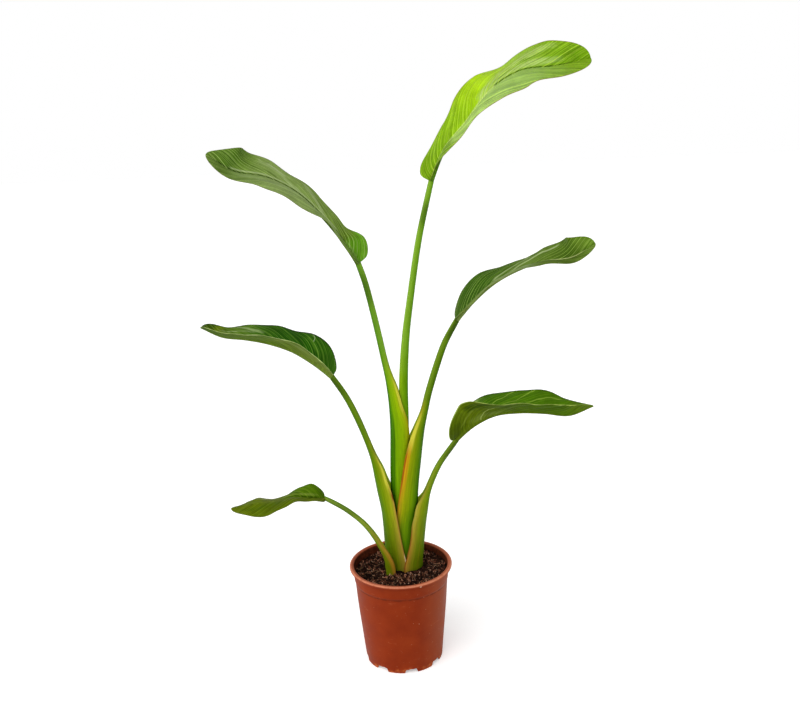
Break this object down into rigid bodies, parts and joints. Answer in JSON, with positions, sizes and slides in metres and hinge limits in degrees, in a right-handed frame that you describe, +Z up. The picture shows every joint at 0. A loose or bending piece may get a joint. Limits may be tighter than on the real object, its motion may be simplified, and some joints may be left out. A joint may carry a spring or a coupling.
{
  "type": "potted bird of paradise plant",
  "caption": "Young bird of paradise plant: long channelled stalks with wide waved blades fan out of dark soil in a round nursery pot with a rolled rim and notched feet.",
  "frame": {"origin": "on the surface the pot stands on, under the middle of the plant's box, which is the pot's axis to within a millimetre", "axes": "+Z up along the pot's axis, +X to the right as in the picture, along the fan of leaves, +Y to the back, away from the camera"},
  "size_m": [0.6127, 0.17, 0.9898],
  "materials": {
    "terracotta_plastic": "satin",
    "potting_soil": "matte",
    "leaf_stalk": "satin",
    "leaf": "satin",
    "young_leaf": "satin"
  },
  "bodies": {
    "root": {"pot": "terracotta_plastic", "soil": "potting_soil", "leaf_1_stalk": "leaf_stalk", "leaf_1_blade": "young_leaf", "leaf_2_stalk": "leaf_stalk", "leaf_2_blade": "leaf", "leaf_3_stalk": "leaf_stalk", "leaf_3_blade": "leaf", "leaf_4_stalk": "leaf_stalk", "leaf_4_blade": "leaf", "leaf_5_stalk": "leaf_stalk", "leaf_5_blade": "leaf", "leaf_6_stalk": "leaf_stalk", "leaf_6_blade": "leaf"}
  },
  "joints": []
}
